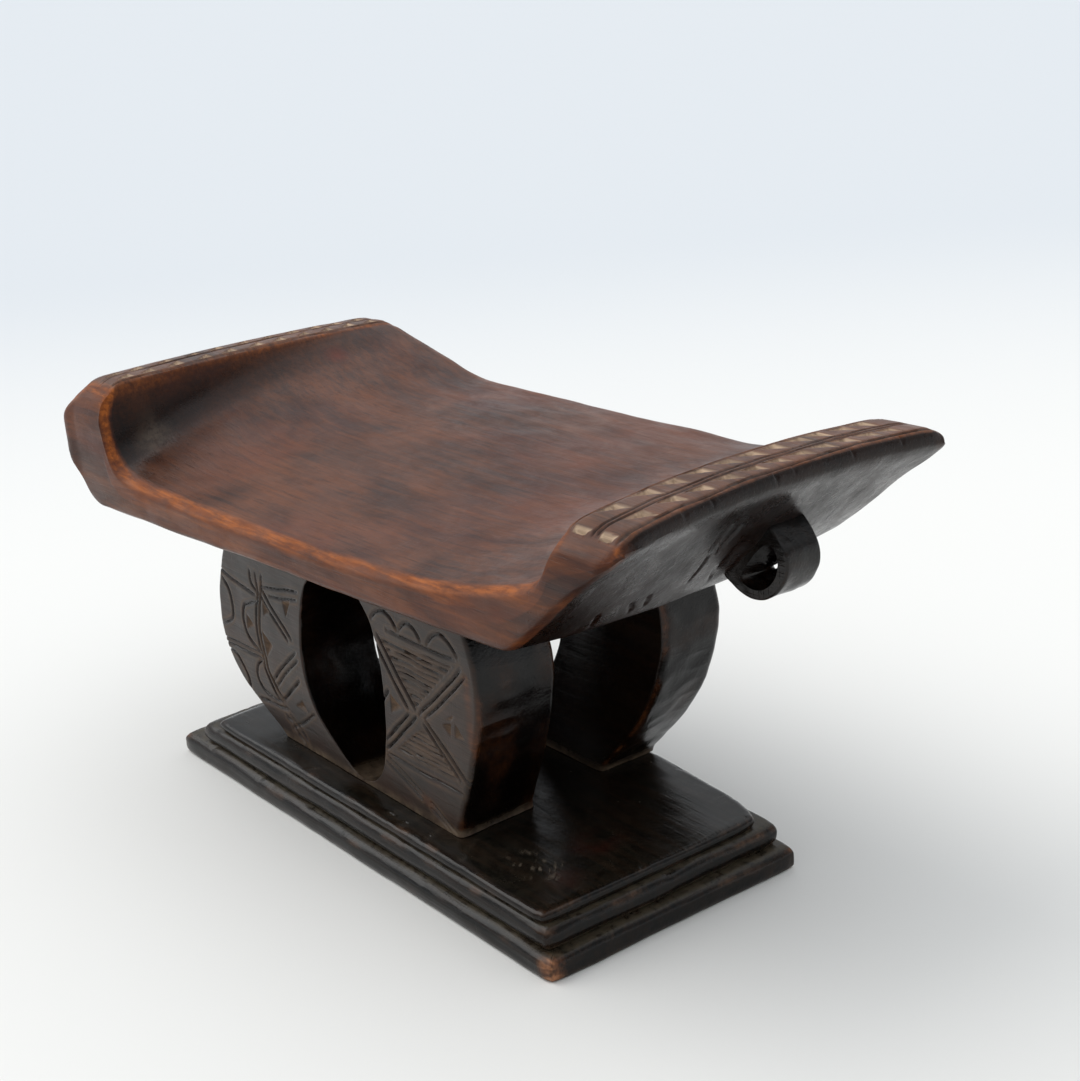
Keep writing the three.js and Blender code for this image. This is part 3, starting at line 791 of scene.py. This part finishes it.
def arm_carving(x, z):
    """Depth of the carving on the front of the arms, and how much of it is bare wood."""
    x = x + 0.30 * noise(z / 7, x / 9, seed=31)
    z = z + 0.35 * noise(x / 8, z / 11, seed=32)
    depth, bare, lip, hatched = (np.zeros(np.shape(x)) for _ in range(4))
    for k, (points, half, deep) in enumerate(RIGHT_ARM_LINES + LEFT_ARM_LINES):
        far, along = distance_to(through(points, 5), x, z)
        taper = 0.55 + 0.45 * smooth(np.minimum(along, 1 - along) / 0.10)
        width = half * (0.95 + 0.25 * noise(along * 5, k * 1.3, seed=33))
        depth = np.maximum(depth, groove(far, width * 0.85 + 0.15, deep * taper * 0.9))
        lip = np.maximum(lip, smooth(1 - abs(far - width - 0.9) / 0.8))
    for k, (triangle, pitch, deep) in enumerate(RIGHT_ARM_HATCH):
        low = min(p[1] for p in triangle)
        room = np.minimum.reduce(inside_by(triangle, x, z))
        wave = z - low + 0.45 * noise(x / 9, np.floor(z / pitch) * 0.7, seed=34 + k)
        far = abs((wave / pitch) % 1.0 - 0.5) * pitch
        uneven = 0.72 + 0.38 * noise(x / 5, np.floor(wave / pitch) * 3.1, seed=36)
        depth = np.maximum(depth, groove(far, pitch * 0.36, deep) * uneven * smooth((room - 1.1) / 0.9))
        hatched = np.maximum(hatched, smooth((room - 0.8) / 0.8))
    for triangle, peak, deep in RIGHT_ARM_CHIPS + LEFT_ARM_CHIPS:
        cut = chip(triangle, peak, deep, x, z)
        depth = np.maximum(depth, cut)
        bare = np.maximum(bare, smooth(cut / 0.4) * 0.9)
    return depth, bare, np.maximum(lip, 0.9 * hatched)


def section(left, right, y0, y1, r_left, r_right, counts):
    """Rows of rounded-rectangle loops: front, right wall, back, left wall.

    counts: stations on the front, each wall, the back and each corner. Gives x, y and the outward x, y.
    """
    n_face, n_wall, n_back, arc = counts
    parts = []

    def straight(xa, ya, xb, yb, nx, ny, n):
        s = np.linspace(0, 1, n)[None, :]
        parts.append((mix(xa, xb, s), mix(ya, yb, s), nx + 0 * s * xa, ny + 0 * s * xa))

    def corner(cx, cy, r, start):
        a = np.radians(start + 90 * np.arange(1, arc) / arc)[None, :]
        parts.append((cx + r * np.cos(a), cy + r * np.sin(a), np.cos(a) + 0 * cx, np.sin(a) + 0 * cx))

    left, right, r_left, r_right = (q[:, None] for q in (left, right, r_left, r_right))
    y0, y1 = y0 + 0 * left, y1 + 0 * left
    straight(left + r_left, y0, right - r_right, y0, 0, -1, n_face)
    corner(right - r_right, y0 + r_right, r_right, -90)
    straight(right, y0 + r_right, right, y1 - r_right, 1, 0, n_wall)
    corner(right - r_right, y1 - r_right, r_right, 0)
    straight(right - r_right, y1, left + r_left, y1, 0, 1, n_back)
    corner(left + r_left, y1 - r_left, r_left, 90)
    straight(left, y1 - r_left, left, y0 + r_left, -1, 0, n_wall)
    corner(left + r_left, y0 + r_left, r_left, 180)
    return [np.concatenate([p[k] for p in parts], 1) for k in range(4)]


def make_support(name, node, outer, opening, span, carved_y, material, seed):
    left_out, right_out = two_sides(outer)[:2]
    left_in, right_in, low, high = two_sides(opening)
    rows_z = np.concatenate([
        [SLAB_TOP + 0.06, 21.3, 21.7, 22.1], np.arange(22.5, low[1] - 0.1, 0.5),
        low[1] + np.array([0.02, 0.2, 0.5]),
        np.arange(low[1] + 0.9, high[1] - 0.8, 0.5), high[1] - np.array([0.5, 0.2, 0.02]),
        [high[1] + 0.4, 106, 108, 110, 112],
    ])
    open_row = (rows_z > low[1]) & (rows_z < high[1])
    seam = np.where(rows_z < (low[1] + high[1]) / 2, low[0], high[0])

    def lifted(z, x, y):
        goal = under_height(x, y) - 0.12
        share = clamp01((z - JOIN_RISE) / (rows_z[-1] - JOIN_RISE))
        return np.where(z > JOIN_RISE, JOIN_RISE + (goal - JOIN_RISE) * share, z)

    middle_y = (span[0] + span[1]) / 2
    z_true = rows_z.copy()
    for _ in range(3):
        z_true = lifted(rows_z, (left_out(z_true) + right_out(z_true)) / 2, middle_y)
    foot = FOOT_FLARE * clamp01(1 - (rows_z - SLAB_TOP) / FOOT_RISE) ** 2
    xl, xr = left_out(z_true) - foot, right_out(z_true) + foot
    il = np.where(open_row, left_in(rows_z), seam)
    ir = np.where(open_row, right_in(rows_z), seam)
    gap = ir - il
    r_in = 1.5 * smooth(gap / 8)
    r_out = 3.0 * np.ones_like(rows_z)
    arms = [
        (xl, il, r_out, r_in, (136, 22, 44, 6)),
        (ir, xr, r_in, r_out, (124, 22, 40, 6)),
    ]
    blocks, marks = [], {key: [] for key in MARKS}
    for k, (left, right, r_left, r_right, counts) in enumerate(arms):
        x, y, nx, ny = section(left, right, span[0], span[1], r_left, r_right, counts)
        z = np.broadcast_to(rows_z[:, None], x.shape)
        if carved_y == 0:
            face, px = ny < -0.5, x
        else:
            # The front's pattern, turned round and fitted to this outline
            face = ny > 0.5
            px = np.where(x > BACK_MIDDLE, -(x - 28) * 1.1 - 42, 14 + (-20 - x) * 1.07)
        depth, bare, lip = arm_carving(px, z)
        depth, bare, lip = (q * face * ramp(z, 20.5, 23) * ramp(z, 101, 98) for q in (depth, bare, lip))
        opened = smooth(gap / 6)[:, None]
        inner_wall = (nx > 0.02) if k == 0 else (nx < -0.02)
        free = np.where(inner_wall, opened, 1.0)
        lumps = 0.45 * noise(x / 15, y / 12, z / 17, seed=seed) + 0.20 * noise(x / 6, y / 6, z / 6,
            seed=seed + 1)
        planes = 0.45 * abs(noise(y / 9, z / 6.5, k * 4.0, seed=seed + 2))
        push_x = nx * (lumps * 1.2 - planes - INWARD) * free
        push_y = ny * (lumps * 0.45 - 0.2 - depth)
        gx, gy = x + push_x, y + push_y
        gz = lifted(z, gx, gy)
        grid = np.stack([gx, gy, gz], -1)
        skip = np.zeros((len(rows_z) - 1, x.shape[1]), bool)
        closed_pair = ~open_row[:-1] & ~open_row[1:]
        wall = abs(x - (right if k == 0 else left)[:, None]) < 1e-6
        skip |= closed_pair[:, None] & (wall & np.roll(wall, -1, 1))[:-1]
        blocks.append((grid, skip))
        is_outer = (nx > 0) if k else (nx < 0)
        patch = 0.5 + 0.5 * noise(x / 7, y / 9, z / 12, seed=seed + 3)
        arc = smooth(1 - abs(abs(nx) - 0.65) / 0.5)
        worn = arc * np.where(is_outer, 0.55, 0.18) * ramp(patch, 0.35, 0.8)
        streak = smooth(1 - distance_to(ARM_STREAK, px, z)[0] / 3.2) * face
        worn = clamp01(worn + streak * 0.9 * patch)
        tail = smooth(1 - distance_to(ARM_TAIL, px, z)[0] / 3.5) * face
        worn = clamp01(worn + tail * 0.6)
        # painted shade in the bottoms of the carved grooves
        core = smooth((depth - 0.25) / 0.4) * (1 - bare)
        brown = lip * face * (1 - core) * (0.35 + 0.65 * patch)
        shade = clamp01(0.9 * (1 - abs(ny) ** 2) + np.where(face, 0, 0.7) + 0.75 * core)
        dust = clamp01(ramp(z, 25.0, 21.2) * (0.35 + 0.9 * patch) + 0.22 * brown)
        cut = clamp01(bare * 0.9 + 0.62 * brown)
        warm = clamp01(0.25 * face * patch)
        for key, mark in zip(MARKS, (worn, cut, dust, warm, shade * (1 - dust * 0.6))):
            marks[key].append(mark)
    return make_piece(name, node, blocks, marks, material, sharp=50)


# ---------------------------------------------------------------- base

BOTTOM_OUTLINE = [(123.8, -53.8), (126.4, 55.0), (50.0, 57.5), (-126.5, 59.0), (-125.2, -55.7)]
MIDDLE_OUTLINE = [(119.8, -51.6), (121.6, 52.2), (48.0, 55.8), (-114.0, 57.2), (-111.0, -53.2)]
SLAB_OUTLINE = [(116.6, -50.2), (118.2, 44.0), (106.0, 49.2), (51.0, 54.2), (-108.0, 55.4), (-99.0, -51.4)]
# Height and inset from the bottom up
BOTTOM_PROFILE = [
    (0, 1.0), (0.4, 0.5), (1.0, 0.1), (2.2, 0), (3.4, 0), (4.6, 0), (5.6, 0.05), (6.2, 0.3), (6.8, 0.7),
    (7.4, 1.2), (8.0, 1.9), (8.45, 2.7),
]
MIDDLE_PROFILE = [
    (8.5, 1.3), (9.2, 1.0), (10.2, 0.3), (11.2, 0.05), (12.4, 0), (13.4, 0.05), (14.2, 0.35), (14.9, 0.7),
    (15.6, 1.2), (16.1, 1.8), (16.5, 2.6),
]
SLAB_PROFILE = [
    (16.6, 0.8), (17.1, 0.5), (17.8, 0.1), (18.6, 0), (19.3, 0.15), (19.9, 0.6), (20.3, 1.1), (20.65, 1.8),
    (20.85, 2.6), (20.95, 3.4),
]
# Rings across a tier's top, as shares of the way to its middle: few where the next tier covers it
HIDDEN_TOP = [0.02, 0.05, 0.09, 0.15, 0.4, 0.8]
SHOWN_TOP = list(np.linspace(0.02, 0.98, 44))
CORNER_STEPS = 9
STATION = 1.3  # spacing round a tier
TIER_HALF = np.array([120.0, 52.0])  # about half of a tier's size, to turn an inset into a share


def plan_of(outline, corner):
    """A closed outline with rounded corners, and how near each of its points is to a corner."""
    points, near = [], []
    count = len(outline)
    p = np.array(outline, float)
    for i in range(count):
        here, before, after = p[i], p[i - 1], p[(i + 1) % count]
        start = here + (before - here) / np.linalg.norm(before - here) * corner
        end = here + (after - here) / np.linalg.norm(after - here) * corner
        for t in np.linspace(0, 1, CORNER_STEPS):
            points.append((1 - t) ** 2 * start + 2 * t * (1 - t) * here + t * t * end)
            near.append(1.0)
        goal = after + (here - after) / np.linalg.norm(here - after) * corner
        n = max(int(np.linalg.norm(goal - end) / STATION), 2)
        for t in np.arange(1, n) / n:
            points.append(mix(end, goal, t))
            near.append(float(np.exp(-min(t, 1 - t) * n * STATION / 4)))
    return np.array(points), np.array(near)


def make_tier(name, node, outline, corner, profile, inner, seed, foot_dust):
    """profile: (height, inset) from the bottom up; inner: shares of the way to the middle across the top."""
    plan, near = plan_of(outline, corner)
    middle = np.array(outline, float).mean(0)
    rings = [middle + (plan - middle) * (1 - inset / TIER_HALF) for _, inset in profile]
    rings += [mix(rings[-1], middle, share) for share in inner]
    xy = np.array(rings)
    heights, insets = np.array(profile + [profile[-1]] * len(inner)).T
    shares = np.array([0.0] * len(profile) + inner)
    z, inset, share = (q[:, None] * np.ones(xy.shape[:2]) for q in (heights, insets, shares))
    x, y = xy[..., 0], xy[..., 1]
    tangent = np.roll(xy, -1, 1) - np.roll(xy, 1, 1)
    out = np.stack([tangent[..., 1], -tangent[..., 0]], -1)
    out /= np.linalg.norm(out, axis=-1, keepdims=True)
    side = (share == 0).astype(float)
    around = np.arange(len(plan))[None, :] * STATION + 0 * z
    knife = 0.30 * noise(around / 26, z / 5.0, seed=seed) + 0.10 * noise(around / 7, z / 3.0, seed=seed + 1)
    bitten = 0.9 * ramp(noise(around / 5, 0.5, seed=seed + 2), 0.42, 0.85) * ramp(inset + 0 * z, 0.2, 1.6)
    worn_corner = near[None, :] ** 2 * 0.5
    push = (knife - bitten * 0.7 - worn_corner - 0.25) * side
    x, y = x + out[..., 0] * push, y + out[..., 1] * push
    flat = (share > 0) | (inset > 1.5)
    bumpy = 0.18 * noise(x / 24, y / 15, seed=seed + 3) + 0.07 * noise(x / 7, y / 5, seed=seed + 4)
    z = z + np.where(flat, bumpy - 0.12 - 0.35 * bitten * side, 0)
    grid = np.stack([x, y, z], -1)
    patch = 0.5 + 0.5 * noise(x / 9, y / 7, z / 3, seed=seed + 5)
    lip = smooth(1 - abs(inset - 0.9) / 1.2) * side
    bottom = float(profile[0][0] == 0)
    worn = clamp01(lip * ramp(patch, 0.66, 0.95) * 0.35 + near[None, :] ** 2 * lip * (0.15 + 0.7 * bottom))
    front_corner = smooth(1.15 - np.hypot(x - outline[0][0], y - outline[0][1]) / 7)
    worn = clamp01(0.5 * worn + bottom * front_corner * side * (0.5 + 0.8 * patch))
    dust = clamp01(foot_dust * (ramp(inset, 1.2, 2.4) * side + (share > 0)) * (0.7 + 0.3 * patch)
                   + 0.75 * side * ramp(z, profile[0][0] + 1.6, profile[0][0] + 0.2) * foot_dust)
    cut = 0.10 * lip * ramp(patch, 0.5, 0.9) + 0.06 * bitten
    shade = clamp01(0.35 * side * ramp(inset, 0.4, 0.0))
    warm = np.zeros_like(z)
    if foot_dust < 0.5:  # the top tier: a red patch, and pale brush strokes near its front corner
        warm = 0.6 * smooth(1 - np.hypot((x - 92) / 12, (y + 6) / 16)) * ramp(patch, 0.2, 0.7) * (1 - side)
        warm = warm + 0.5 * smooth(1 - np.hypot((x - 104) / 9, (y + 30) / 9)) * (1 - side)
        far = np.hypot((x - 90) / 17, (y + 31) / 9)
        strokes = ramp(noise((x + 0.6 * y) / 8, (y - 0.6 * x) / 1.2, seed=seed + 6), 0.30, 0.70)
        cut = cut + 0.8 * strokes * smooth(1.1 - far) * (1 - side)
    marks = {"worn": worn, "cut": clamp01(cut), "dust": dust, "warm": clamp01(warm), "shade": shade}
    return make_piece(name, node, [(grid, None)], {k: [a] for k, a in marks.items()}, base_wood)


# ---------------------------------------------------------------- carrying lug

# In the seat's frame, u and w
LUG_Y = (10.5, 26.5)
LUG_MIDDLE = np.array([137.0, -40.0])
LUG_OUTLINE = [
    (115, -40), (120.8, -45.6), (126.6, -49.2), (132, -50.6), (137, -50), (141.8, -47.4), (145.8, -43),
    (148.2, -37.6), (147.8, -32.6), (144.6, -27.8), (140.6, -23.6), (134, -21), (122, -30),
]
LUG_HOLE = [
    (128.6, -44.2), (132.6, -46.1), (136.8, -45.4), (140.4, -42.8), (143, -39), (143.5, -34.8),
    (141.4, -31.6), (138.4, -32), (133, -37.8),
]
HOLE_LEFT = 1.6  # radius left open by the waist at mid depth, before its lumps


def make_lug():
    def reach(points):
        """An outline as a radius round the lug's middle, by angle."""
        line = through(points, 24, closed=True) - LUG_MIDDLE
        angle = np.arctan2(line[:, 1], line[:, 0])
        order = np.argsort(angle)
        angle, radius = angle[order], np.hypot(*line[order].T)
        return lambda a: np.interp(a, angle, radius, period=2 * math.pi)

    outer, hole = reach(LUG_OUTLINE), reach(LUG_HOLE)
    turns = np.linspace(-math.pi, math.pi, 240, endpoint=False)
    r0, r1 = hole(turns), outer(turns)
    edge = np.minimum(1.1, (r1 - r0) * 0.25)
    small = np.minimum(0.8, (r1 - r0) * 0.2)
    # One loop round the bar for each turn: its section is a rounded rectangle in radius and Y
    rad, y, n_rad, n_y = section(r0, r1, LUG_Y[0], LUG_Y[1], small, edge, (14, 18, 14, 6))
    a = turns[:, None] + 0 * rad

    def on_plane():
        return LUG_MIDDLE[0] + rad * np.cos(a), LUG_MIDDLE[1] + rad * np.sin(a)

    u0, w0 = on_plane()
    lumps = 0.35 * noise(u0 / 9, y / 7, w0 / 9, seed=71) + 0.12 * noise(u0 / 3, y / 3, w0 / 3, seed=72) - 0.2
    from_middle = abs(y - sum(LUG_Y) / 2) / 8
    waist = (5.8 * smooth(1 - from_middle) - 2.6 * ramp(from_middle, 0.3, 1.0)) * clamp01(-n_rad)
    waist = np.minimum(waist, rad - HOLE_LEFT)
    rad, y = rad + n_rad * lumps - waist, y + n_y * lumps
    u, w = on_plane()
    grid = place_seat(u, y, w)
    grid = np.concatenate([grid, grid[:1]], 0)
    patch = 0.5 + 0.5 * noise(u / 6, y / 5, w / 6, seed=73)
    arc = smooth(1 - abs(abs(n_rad) - 0.7) / 0.45)
    seat_side = smooth(1 - np.hypot(u - 130, w + 46) / 9)
    worn = clamp01(arc * (0.06 + 0.9 * seat_side) * ramp(patch, 0.25, 0.8))
    marks = dict.fromkeys(MARKS, np.zeros_like(worn)) | {"worn": worn, "shade": clamp01(-n_rad)}
    marks = {k: [np.concatenate([m, m[:1]], 0)] for k, m in marks.items()}
    return make_piece("lug_carved", "carrying_lug", [(grid, None)], marks, lug_wood)


make_seat()
make_support("front_support_carved", "front_support", FRONT_OUTER, FRONT_OPEN, FRONT_Y, 0, support_wood, 41)
make_support("back_support_carved", "back_support", mirrored(BACK_HALF, BACK_MIDDLE),
             mirrored(BACK_HALF_OPEN, BACK_MIDDLE), BACK_Y, 1, support_wood, 51)
make_lug()
make_tier("base_bottom_carved", "base_bottom_slab", BOTTOM_OUTLINE, 2, BOTTOM_PROFILE, HIDDEN_TOP, 81, 0.7)
make_tier("base_middle_carved", "base_middle_step", MIDDLE_OUTLINE, 3, MIDDLE_PROFILE, HIDDEN_TOP, 91, 0.7)
make_tier("base_top_carved", "base_top_slab", SLAB_OUTLINE, 3, SLAB_PROFILE, SHOWN_TOP, 101, 0.12)

# ---------------------------------------------------------------- floor, light, camera

floor_mesh = bpy.data.meshes.new("floor")
FLOOR_HALF = 30.0  # metres
corners = [(i * FLOOR_HALF, j * FLOOR_HALF, 0) for i, j in ((-1, -1), (1, -1), (1, 1), (-1, 1))]
floor_mesh.from_pydata(corners, [], [(0, 1, 2, 3)])
floor = bpy.data.objects.new("floor", floor_mesh)
bpy.context.scene.collection.objects.link(floor)
paper = Surface("pale_floor")
far = paper.band(paper.toward(paper.place, (-0.79, 0.61, 0)), 0.25, 1.3)
paper.put(paper.shader.inputs["Base Color"], paper.blend(far, (0.82, 0.81, 0.785), (0.66, 0.685, 0.71)))
paper.shader.inputs["Roughness"].default_value = 1.0
paper.shader.inputs["Specular IOR Level"].default_value = 0.0
floor_mesh.materials.append(paper.material)


def far_light(name, toward, wide, strength, colour):
    data = bpy.data.lights.new(name, "SUN")
    data.angle = math.radians(wide)
    data.energy = strength
    data.color = colour
    lamp = bpy.data.objects.new(name, data)
    lamp.rotation_euler = Vector(toward).to_track_quat("-Z", "Y").to_euler()
    bpy.context.scene.collection.objects.link(lamp)


far_light("window", toward=(0.75, 0.50, -1.0), wide=50, strength=1.25, colour=(1.0, 0.985, 0.96))

world = bpy.data.worlds.new("studio")
world.use_nodes = True
# A pale room: bright overhead, lit behind and to the left, dim towards the right front, pale at the horizon
room = Nodes(world.node_tree)
sky = room.add("ShaderNodeTexCoord").outputs["Generated"]
split = room.add("ShaderNodeSeparateXYZ")
room.put(split.inputs[0], sky)
height = split.outputs["Z"]
window_side = room.band(room.toward(sky, (-0.80, 0.60, 0.0)), -0.7, 0.7, 0.06, 0.50)
walls = room.maths("MAXIMUM", window_side, room.band(height, 0.20, 0.34, 0.88, 0.0))
background = world.node_tree.nodes["Background"]
background.inputs["Color"].default_value = (0.93, 0.965, 1.0, 1)
room.put(background.inputs["Strength"], room.maths("ADD", walls, room.band(height, 0.25, 0.95, 0.0, 1.05)))
bpy.context.scene.world = world
bpy.context.scene.view_settings.view_transform = "Standard"

CAMERA_AT = np.array([514.9, -333.7, 313.7])
YAW, PITCH, ROLL = 0.9341, -0.3298, -0.0769  # radians
FOCAL, PHOTO_WIDTH = 1760, 1080  # both in the photo's pixels
forward = Vector((-math.sin(YAW) * math.cos(PITCH), math.cos(YAW) * math.cos(PITCH), math.sin(PITCH)))
level = Vector((math.cos(YAW), math.sin(YAW), 0))
upright = level.cross(forward)
right = math.cos(ROLL) * level + math.sin(ROLL) * upright
up = -math.sin(ROLL) * level + math.cos(ROLL) * upright
lens = bpy.data.cameras.new("camera")
lens.sensor_fit = "HORIZONTAL"
lens.sensor_width = 36
lens.lens = lens.sensor_width * FOCAL / PHOTO_WIDTH
lens.clip_start = 0.01
lens.clip_end = 100
camera = bpy.data.objects.new("camera", lens)
turn = Matrix((right, up, -forward)).transposed().to_4x4()
camera.matrix_world = Matrix.Translation(Vector((CAMERA_AT + SHIFT) * MM)) @ turn
bpy.context.scene.collection.objects.link(camera)
bpy.context.scene.camera = camera
